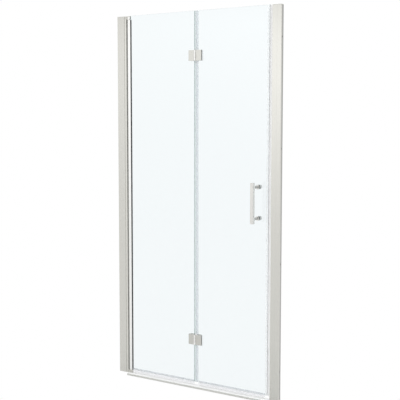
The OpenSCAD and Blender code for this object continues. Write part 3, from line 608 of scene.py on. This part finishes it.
def fold_seal():
    """A hollow seal over the fold gap with a fin towards the inner panel, between the hinges."""
    box = Span("fold_seal")
    lower, upper = Span("lower_hinge_inner_leaf"), Span("upper_hinge_inner_leaf")
    width, wall, gap = 8.0, 1.0, 0.3
    runs = ((box.z0, lower.z0 - gap), (lower.z1 + gap, upper.z0 - gap), (upper.z1 + gap, box.z1))
    edge, grip, y = LEADING.x0 - OFF_GLASS, SEAT_Y, box.y1
    tube = LEADING.x0 - width
    leg = [
        (edge, grip), (box.x1, grip), (box.x1, y - 0.5), (box.x1 - 1.2, y), (tube + 0.8, y),
        (tube, y - 1.4)]
    fin = [(tube, 0.4), (box.x0 + 0.2, 0.4), (box.x0, 0.0), (box.x0 + 0.2, -1.0), (tube, -1.0)]
    outline = [*leg, *fin, *((x, -y) for x, y in reversed(leg))]
    bore = mirrored([(edge - wall, y - wall), (tube + 1.3, y - wall), (tube + wall, y - 2.0)])

    def wall_kind(face):
        """1 on the legs that grip the glass, made nearly clear and white as painted light, 2 on the fin, 0
        on the tube.
        """
        place = centre(face).x
        return 1 if place > edge - wall / 2 else 2 if place < tube - 0.2 else 0

    loops = [softened(outline, 0.35), softened(bore, 0.5)]
    strip("fold_seal", loops, "z", runs, [FOLD_PVC, LEG_PVC, FIN_PVC], wall_kind)


def magnetic_seal():
    """A clip on the leading edge with a hollow nose behind the moving magnet."""
    box = Span("magnetic_seal")
    edge, grip, y, nose, wall = LEADING.x1 + OFF_GLASS, SEAT_Y, box.y1, box.x1, 1.4
    outline = mirrored([
        (edge, grip), (box.x0 + 0.6, grip), (box.x0, grip + 0.35), (box.x0 + 0.3, y - 0.1),
        (box.x0 + 1.6, y), (edge + 1.4, y), (edge + 2.5, y - 0.6), (edge + 3.6, y), (nose, y)])
    bore = mirrored([(edge + 1.0, y - wall), (nose - 0.9, y - wall)])
    loops = [softened(outline, 0.3), softened(bore, 0.5)]
    strip("magnetic_seal", loops, "z", [(box.z0, box.z1)], [EDGE_PVC])


def stile_gasket():
    """A rubber channel round the glass's edge, with two soft lips outside the stile."""
    box = Span("stile_glazing_gasket")
    grip, out, lip, base = SEAT_Y, GLASS.y1 + 1.0, STILE.x1, box.x0 + 0.9
    outline = mirrored([
        (base, grip), (box.x1, grip + 0.1), (box.x1 - 0.2, grip + 1.3), (lip + 1.0, box.y1 - 0.1),
        (lip, box.y1), (lip, out), (box.x0, out)])
    strip("stile_glazing_gasket", [softened(outline, 0.3)], "z", [(box.z0, box.z1)])


def post_gasket():
    """A barbed root in the post's groove and a soft bulb towards the stile."""
    box = Span("hinge_post_gasket")
    mouth, root = Span("hinge_post").x1, 1.5
    outline = mirrored([
        (box.x1, 1.2), (box.x1 - 1.4, box.y1), (mouth, box.y1), (mouth, root - 0.2),
        (box.x0 + 0.8, root), (box.x0, root - 0.3)])
    strip("hinge_post_gasket", [softened(outline, 0.6)], "z", [(box.z0, box.z1)], [SOFT_GASKET])


for name in ("inner_bottom_seal", "leading_bottom_seal"):
    bottom_seal(name)
fold_seal()
magnetic_seal()
stile_gasket()
post_gasket()


# ---------------------------------------------------------------- handle
def handle_posts():
    """Posts with a thin root in the bar and a waist where they leave it."""
    box = Span("handle_posts")
    y0, y1, r = BAR.y1, box.y1, box.r
    root_y, root_r, waist_r = y0 - 2, 3.0, r - 0.9
    profile = [
        (0, root_y), (root_r, root_y), (root_r, y0), (waist_r, y0), (waist_r, y0 + 0.5),
        (r - 0.3, y0 + 0.7), (r, y0 + 1.2), (r, y1), (0, y1)]
    # The necks are painted darker, as painted shade.
    turned_set("handle_posts", profile, box.two(), [NECK_METAL_PAINTED_SHADE])


def handle_rosettes():
    """Collars round the posts, rounded towards the bar."""
    box = Span("handle_rosettes")
    y0, y1, r, bore = box.y0, box.y1, box.r, NECK_R + 0.02
    profile = [
        (bore, y1), (bore, y0), (r - 1.0, y0), (r - 0.4, y0 + 0.15), (r - 0.1, y0 + 0.5),
        (r, y0 + 1.0), (r, y1 - 0.3), (r - 0.3, y1), (bore, y1)]
    # The rosettes are painted lighter, as painted light.
    turned_set("handle_rosettes", profile, box.two(), [ROSETTE_METAL_PAINTED_LIGHT])


def handle_spacers():
    """Black rings between rosettes and glass, with two grooves round each."""
    box = Span("handle_spacers")
    y0, y1, r, bore = box.y0, box.y1, box.r - RING_INSET, NECK_R + 0.05
    edge, groove = 0.4, 0.35
    profile = [(bore, y1), (bore, y0), (r - edge, y0), (r, y0 + edge)]
    for k in (1, 2):
        y = y0 + (y1 - y0) * k / 3
        profile += [(r, y - groove), (r - groove, y), (r, y + groove)]
    profile += [(r, y1 - edge), (r - edge, y1), (bore, y1)]
    turned_set("handle_spacers", profile, box.two())


def handle_back_washers():
    """Washers whose front stays just clear of the glass, so that it shows lit through the glass."""
    box = Span("handle_back_washers")
    y0, y1, r, bore, edge = box.y0 + OFF_GLASS, box.y1, box.r, 3.1, 0.2
    profile = [
        (bore, y1), (bore, y0), (r - edge, y0), (r, y0 + edge), (r, y1 - edge), (r - edge, y1), (bore, y1)]
    turned_set("handle_back_washers", profile, box.two(), [WASHER_NYLON])


def handle_back_caps():
    """Domed caps with a groove near the washer and a hexagon socket."""
    box = Span("handle_back_caps")
    y0, y1, r, dome_r = box.y0, box.y1, box.r, 1.6
    dome = [(r - dome_r + dome_r * math.cos(a), y1 - 1.9 + dome_r * math.sin(a)) for a in quarter_turn(6)]
    profile = [
        (0, y0), (r - 0.3, y0), (r, y0 + 0.3), (r, y0 + 1.6), (r - 0.35, y0 + 1.9), (r, y0 + 2.2),
        *dome, (4.0, y1)]
    turned_set("handle_back_caps", profile, box.two(), [CAP_METAL], recess=hexagon(2.3), depth=3.5)


handle_posts()
handle_rosettes()
handle_spacers()
handle_back_washers()
handle_back_caps()


# ---------------------------------------------------------------- screws and covers
def clamp_screws(node, leaves):
    """Countersunk socket screws in the hinges' back plates, two to a leaf."""
    box = Span(node)
    head, shank, cone = box.r, 2.45, 2.3
    off_middle = Span(leaves[0]).z - box.z0 - head
    heights = [Span(leaf).z + off for leaf in leaves for off in (-off_middle, off_middle)]
    profile = [
        (0, box.y0), (shank - 0.5, box.y0), (shank, box.y0 + 0.5), (shank, box.y1 - cone),
        (head, box.y1 - 0.15), (head - 0.15, box.y1), (1.9, box.y1)]
    turned_set(node, profile, heights, recess=hexagon(1.5), depth=1.8)


def pan_head_screws(node, heights):
    """Pan head screws with a cross recess, driven from the shower side."""
    box = Span(node)
    head, shank, seat = box.r, 1.9, box.y1 - 2.2
    profile = [
        (0, box.y0), (shank - 0.6, box.y0), (shank, box.y0 + 1.2), (shank, seat), (head, seat),
        (head, seat + 0.9), (head - 0.3, seat + 1.5), (head - 0.9, box.y1 - 0.15), (head - 1.4, box.y1)]
    turned_set(node, profile, heights, recess=cross(1.7, 0.45), depth=1.3)


def screw_covers(node):
    """Domed snap covers over the frame's fixing screws, hollow behind the dome."""
    box = Span(node)
    y0, y1, r, bore, rim = box.y0, box.y1, box.r, box.r - 1.1, box.y0 + 1.9
    dome = [(r * math.cos(a), rim + (y1 - rim) * math.sin(a)) for a in quarter_turn(8)[:-1]]
    profile = [
        (0, y1 - 1.1), (bore, y1 - 1.3), (bore, y0), (r - 0.15, y0), (r, y0 + 0.15),
        (r, y0 + 0.8), (r - 0.3, y0 + 1.0), (r, y0 + 1.2), *dome, (0, y1)]
    turned_set(node, profile, box.three())


for panel in ("inner", "leading"):
    clamp_screws(f"{panel}_hinge_screws", [f"lower_hinge_{panel}_leaf", f"upper_hinge_{panel}_leaf"])
for side in ("hinge", "strike"):
    pan_head_screws(f"{side}_side_fixing_screws", Span(f"{side}_side_fixing_screws").three())
pan_head_screws("pivot_block_screws", Span("pivot_block_screws").two())
for side in ("hinge", "strike"):
    screw_covers(f"{side}_side_screw_covers")


# ---------------------------------------------------------------- carried-over nodes
for part in PARTS:
    for holder in NODES[part["node"]].material_slots:
        holder.material = MATS[part["material_slot"]]
# The photo shows nothing dark inside the glass behind the black rings.
NODES["handle_glass_sleeves"].material_slots[0].material = MATS["bush_nylon"]


# ---------------------------------------------------------------- studio
# Strengths of the zones over or under the white surroundings, which have 1.
SOFT_BOX, BACK_LIGHT, OVERHEAD = 1.32, 0.55, 0.22
DARK_SIDE, DIM_BAND = -0.33, -0.20

# Rays by which the camera sees the surroundings, straight or through the glass.
SEEN_RAYS = ("Is Camera Ray", "Is Transmission Ray")

# The floor, in metres, and its grey.
FLOOR_HALF, FLOOR_DROP = 7.0, 0.0005
FLOOR_GREY, FLOOR_SPREAD = 0.80, 0.01
FLOOR_PATCHES = 3     # per metre

# The camera fitted to straight edges of the door in the photo: metres, degrees and pixels.
CAMERA_PLACE = (2.8415, -3.534, 0.3875)
CAMERA_TURN, CAMERA_TILT, CAMERA_ROLL = 33.63, 5.09, -0.04
FOCAL_LENGTH, IMAGE_WIDTH = 887, 400
SENSOR_WIDTH = 36.0     # millimetres
CLIP_END = 60           # metres


class World(Nodes):
    """The studio's light, as numbers that depend on direction. Angles are in degrees."""

    def __init__(self):
        world = bpy.data.worlds.new("studio")
        bpy.context.scene.world = world
        world.use_nodes = True
        super().__init__(world.node_tree)
        split = self.new("ShaderNodeSeparateXYZ")
        self.link(self.coords.outputs["Generated"], split.inputs[0])
        self.x, self.y, self.z = (split.outputs[k] for k in "XYZ")

    def ease(self, value, start, end, low, high):
        """A ramp with smooth ends."""
        return self.ramp(value, start, end, low, high, smooth=True)

    def zone(self, direction, inner, outer, high):
        """high within inner degrees of a direction, 0 beyond outer, smooth between."""
        dot = self.new("ShaderNodeVectorMath", operation="DOT_PRODUCT")
        dot.inputs[1].default_value = Vector(direction).normalized()
        self.link(self.coords.outputs["Generated"], dot.inputs[0])
        near, far = (math.cos(math.radians(angle)) for angle in (inner, outer))
        return self.ease(dot.outputs["Value"], far, near, 0, high)


def door_light(w):
    """What the door mirrors: white all round, with a low soft box at the left front and weaker zones.

    height and left are degrees over the horizon and to the left of straight out in front.
    """
    height = w.math("DEGREES", w.math("ARCSINE", w.z))
    left = w.math("DEGREES", w.math("ARCTAN2", w.math("MULTIPLY", w.x, -1), w.math("MULTIPLY", w.y, -1)))

    # Full from 5 to 20 degrees to the left; it grows with height and ends at about 8 degrees.
    across = w.math("MULTIPLY", w.ease(left, 20, 50, SOFT_BOX, 0), w.ease(left, -25, 5, 0, 1))
    fall = w.math("POWER", w.ramp(height, -13, 6, 0, 1), 2.6)
    soft_box = w.joined("MULTIPLY", across, fall, w.ease(height, 6.6, 8.6, 1, 0))

    # Behind on the left and a little up, straight above, and on the right and a little behind.
    back_light = w.zone((-0.55, 0.80, 0.30), 5, 26, BACK_LIGHT)
    overhead = w.zone((0, 0, 1), 10, 70, OVERHEAD)
    dark_side = w.zone((0.90, 0.43, 0.0), 8, 20, DARK_SIDE)

    # All round, just over the soft box's top edge.
    dim_band = w.math("MULTIPLY", w.ease(height, 5.5, 7.8, 0, DIM_BAND), w.ease(height, 10, 25, 1, 0))
    return w.joined("ADD", 1.0, soft_box, back_light, overhead, dark_side, dim_band)


def surroundings():
    """Plain white where the camera looks, also through the glass, and the door's light elsewhere."""
    w = World()
    pick = w.new("ShaderNodeMix")
    w.link(w.rays(*SEEN_RAYS), pick.inputs["Factor"])
    w.link(door_light(w), pick.inputs["A"])
    pick.inputs["B"].default_value = 1.0
    back = w.tree.nodes["Background"]
    w.link(pick.outputs["Result"], back.inputs["Strength"])
    back.inputs["Color"].default_value = (1, 1, 1, 1)


def pale_floor():
    """A plain floor just under the door, white to the camera and pale to the door."""
    mesh = bpy.data.meshes.new("floor")
    half, z = FLOOR_HALF, BASE_Z * MM - FLOOR_DROP
    mesh.from_pydata([(-half, -half, z), (half, -half, z), (half, half, z), (-half, half, z)],
                     [], [(0, 1, 2, 3)])
    floor = bpy.data.objects.new("floor", mesh)
    bpy.context.scene.collection.objects.link(floor)
    grey = (FLOOR_GREY,) * 3
    s = Shader("pale_floor", color=grey, rough=0.9, spec=0.0, glow=(1, 1, 1), glow_strength=0.12)
    patches = s.remap(s.noise(FLOOR_PATCHES), 0.0, 1.0)
    s.shade(patches, (FLOOR_GREY - FLOOR_SPREAD,) * 3, (FLOOR_GREY + FLOOR_SPREAD,) * 3)
    white = s.new("ShaderNodeEmission")
    s.mixed(s.rays(*SEEN_RAYS), white.outputs[0])
    mesh.materials.append(s.mat)


def camera():
    """Seen from the right and a little above, as photographed."""
    data = bpy.data.cameras.new("camera")
    cam = bpy.data.objects.new("camera", data)
    bpy.context.scene.collection.objects.link(cam)
    turn, tilt, roll = (math.radians(angle) for angle in (CAMERA_TURN, CAMERA_TILT, CAMERA_ROLL))
    ahead = Vector((-math.sin(turn) * math.cos(tilt), math.cos(turn) * math.cos(tilt), -math.sin(tilt)))
    cam.location = CAMERA_PLACE
    cam.rotation_mode = "QUATERNION"
    cam.rotation_quaternion = Quaternion(ahead, roll) @ ahead.to_track_quat("-Z", "Y")
    data.sensor_width = SENSOR_WIDTH
    data.lens = SENSOR_WIDTH * FOCAL_LENGTH / IMAGE_WIDTH
    data.clip_end = CLIP_END
    bpy.context.scene.camera = cam


surroundings()
pale_floor()
camera()
view = bpy.context.scene.view_settings
view.view_transform, view.look = "Standard", "None"
